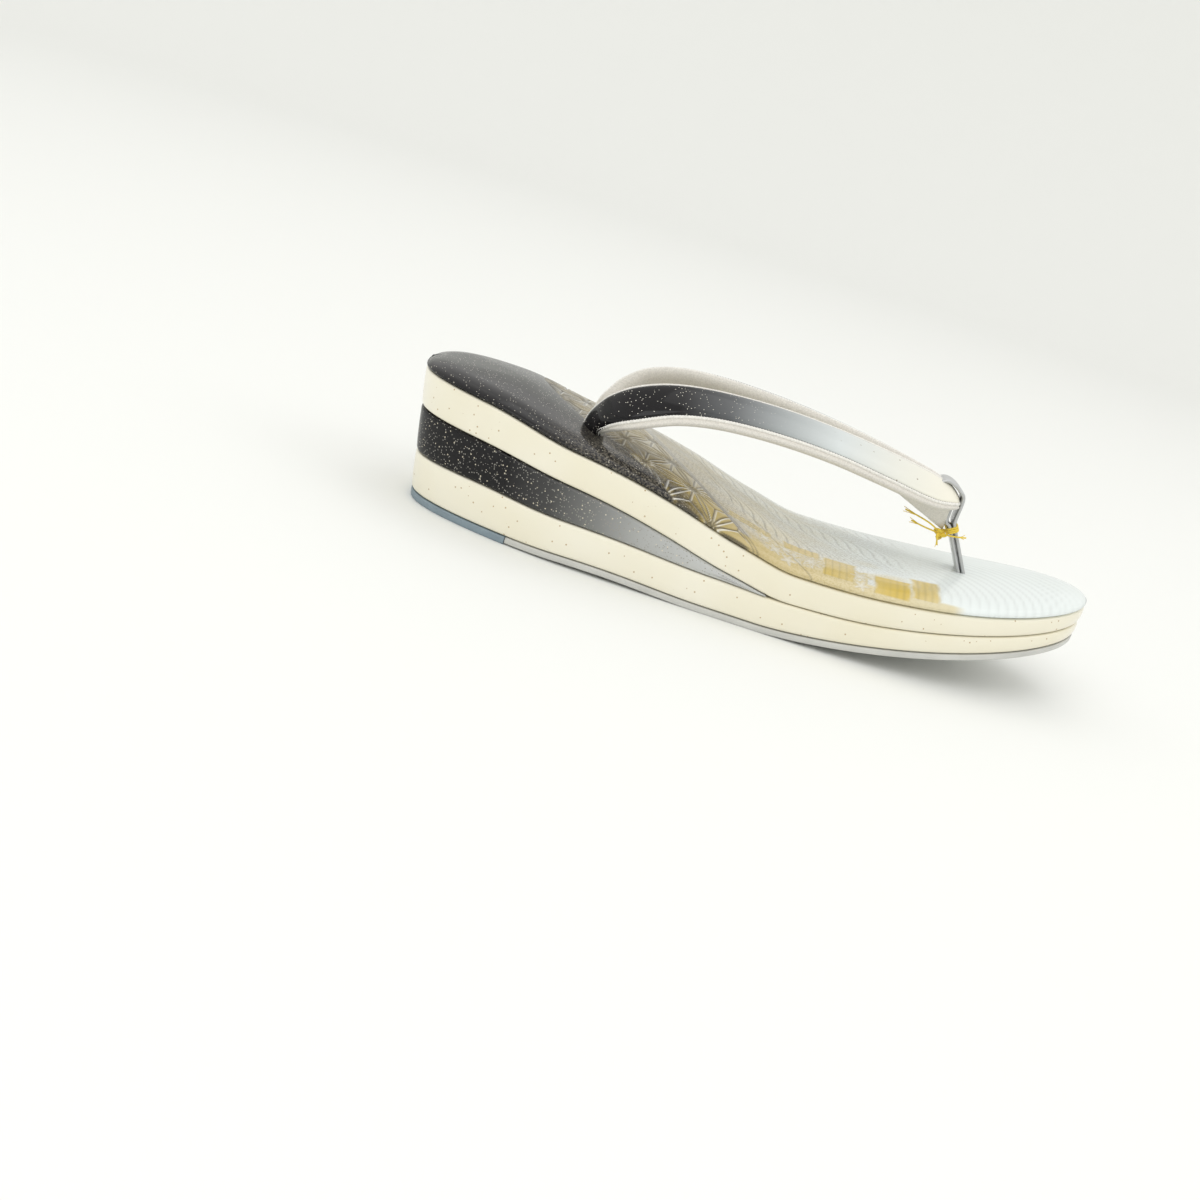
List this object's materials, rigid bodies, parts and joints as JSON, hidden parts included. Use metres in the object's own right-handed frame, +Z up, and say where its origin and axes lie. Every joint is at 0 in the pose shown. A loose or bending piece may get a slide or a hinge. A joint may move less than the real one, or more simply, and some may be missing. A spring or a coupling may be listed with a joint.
{
  "type": "zori sandal",
  "caption": "Women's formal zori sandal: raised heel, stacked wrapped sole with a dark wedge, padded patterned footbed and padded thong straps tied at a toe loop.",
  "frame": {"origin": "on the floor, under the middle of the sole's length and width", "axes": "+X to the toe, +Y to the wearer's left, +Z up"},
  "size_m": [0.24, 0.0834, 0.0687],
  "materials": {
    "lift_rubber": "satin",
    "outsole_sheet": "satin",
    "cream_enamel_lower": "gloss",
    "wedge_enamel": "gloss",
    "cream_enamel_upper": "gloss",
    "footbed_enamel": "gloss",
    "strap_enamel": "gloss",
    "loop_leather": "satin",
    "gold_thread": "matte"
  },
  "bodies": {
    "root": {"heel_lift": "lift_rubber", "outsole": "outsole_sheet", "lower_layer": "cream_enamel_lower", "wedge": "wedge_enamel", "upper_layer": "cream_enamel_upper", "cushion": "footbed_enamel", "straps": "strap_enamel", "toe_loop": "loop_leather", "thread_tie": "gold_thread"}
  },
  "joints": []
}
